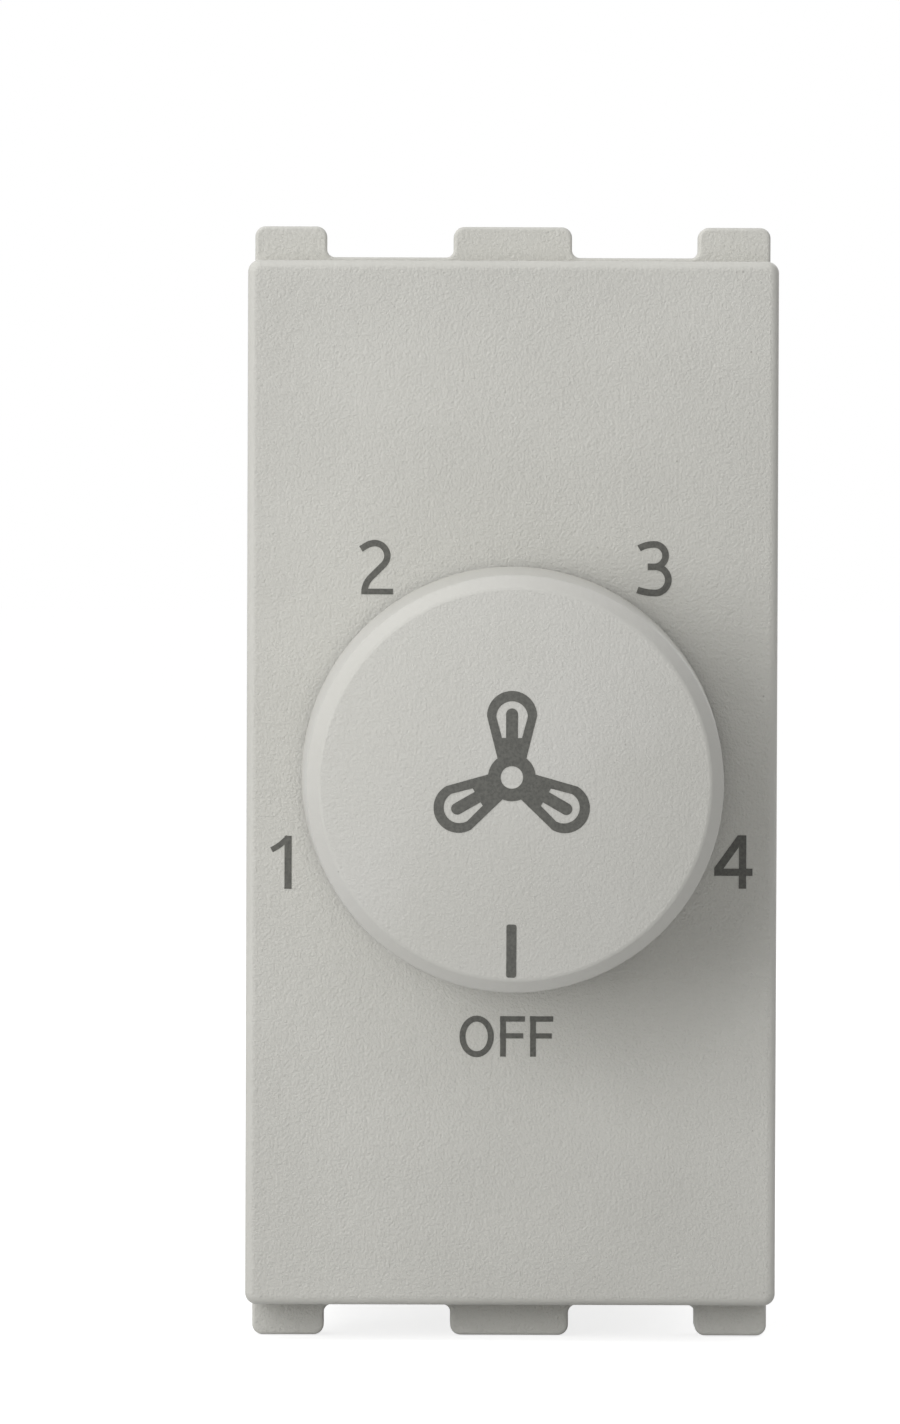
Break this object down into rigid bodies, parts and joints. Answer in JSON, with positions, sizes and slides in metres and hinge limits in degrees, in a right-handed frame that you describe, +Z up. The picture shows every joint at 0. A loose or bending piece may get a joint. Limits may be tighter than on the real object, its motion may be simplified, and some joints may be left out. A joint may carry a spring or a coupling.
{
  "type": "fan speed control switch",
  "caption": "Snap-in rotary step regulator for a ceiling fan: flat moulded face with clip tabs, round knob with detents, capacitor housing and lift-clamp wire terminals behind.",
  "frame": {"origin": "centre of the module on the plane of the rear of its rim and clip tabs, where it seats on the wiring frame", "axes": "+Y points to the rear, into the wall box; +Z is up along the module's long side; +X is right as seen from the front"},
  "size_m": [0.0228, 0.0408, 0.0478],
  "materials": {
    "cover_plastic": "fine spark-eroded mould texture",
    "knob_plastic": "fine spark-eroded mould texture",
    "housing_plastic": "satin moulded",
    "rotor_plastic": "natural nylon",
    "spring_steel": "rolled",
    "contact_bronze": "stamped",
    "contact_brass": "stamped",
    "terminal_brass": "nickel-free stamped",
    "screw_steel": "zinc plated",
    "board_laminate": "paper phenolic",
    "capacitor_case": "moulded box",
    "surge_coating": "flameproof cement coat",
    "bleed_coating": "lacquered"
  },
  "bodies": {
    "chassis": {"front_cover": "cover_plastic", "rear_housing": "housing_plastic", "detent_spring": "spring_steel", "contact_board": "board_laminate", "common_contact": "contact_brass", "speed_contact_1": "contact_brass", "speed_contact_2": "contact_brass", "speed_contact_3": "contact_brass", "speed_contact_4": "contact_brass", "low_speed_capacitor": "capacitor_case", "mid_speed_capacitor": "capacitor_case", "surge_resistor_1": "surge_coating", "surge_resistor_2": "surge_coating", "bleed_resistor_1": "bleed_coating", "bleed_resistor_2": "bleed_coating", "line_contact_bar": "contact_brass", "load_contact_bar": "contact_brass"},
    "dial": {"knob": "knob_plastic", "knob_grip_spring": "spring_steel", "rotor": "rotor_plastic", "moving_contact": "contact_bronze"},
    "line_screw": {"line_terminal_screw": "screw_steel"},
    "line_cage": {"line_terminal_cage": "terminal_brass"},
    "load_screw": {"load_terminal_screw": "screw_steel"},
    "load_cage": {"load_terminal_cage": "terminal_brass"}
  },
  "joints": [
    {"name": "knob_turn", "type": "hinge", "parent": "chassis", "child": "dial", "pos_m": [0, 0, 0.0003], "axis": [0, 1, 0], "range_deg": [0, 288], "deforming": ["detent_spring"]},
    {"name": "line_screw_turn", "type": "hinge", "parent": "chassis", "child": "line_screw", "pos_m": [-0.00466, 0.0182, -0.018], "axis": [0, 0, 1], "range_deg": [0, 1728]},
    {"name": "line_cage_lift", "type": "slide", "parent": "chassis", "child": "line_cage", "axis": [0, 0, -1], "range_m": [0, 0.0024]},
    {"name": "load_screw_turn", "type": "hinge", "parent": "chassis", "child": "load_screw", "pos_m": [0.00466, 0.0182, -0.018], "axis": [0, 0, 1], "range_deg": [0, 1728]},
    {"name": "load_cage_lift", "type": "slide", "parent": "chassis", "child": "load_cage", "axis": [0, 0, -1], "range_m": [0, 0.0024]}
  ],
  "couplings": [
    {"joint": "line_screw_turn", "follows": "line_cage_lift", "rad_per_m": 12566},
    {"joint": "load_screw_turn", "follows": "load_cage_lift", "rad_per_m": 12566}
  ]
}
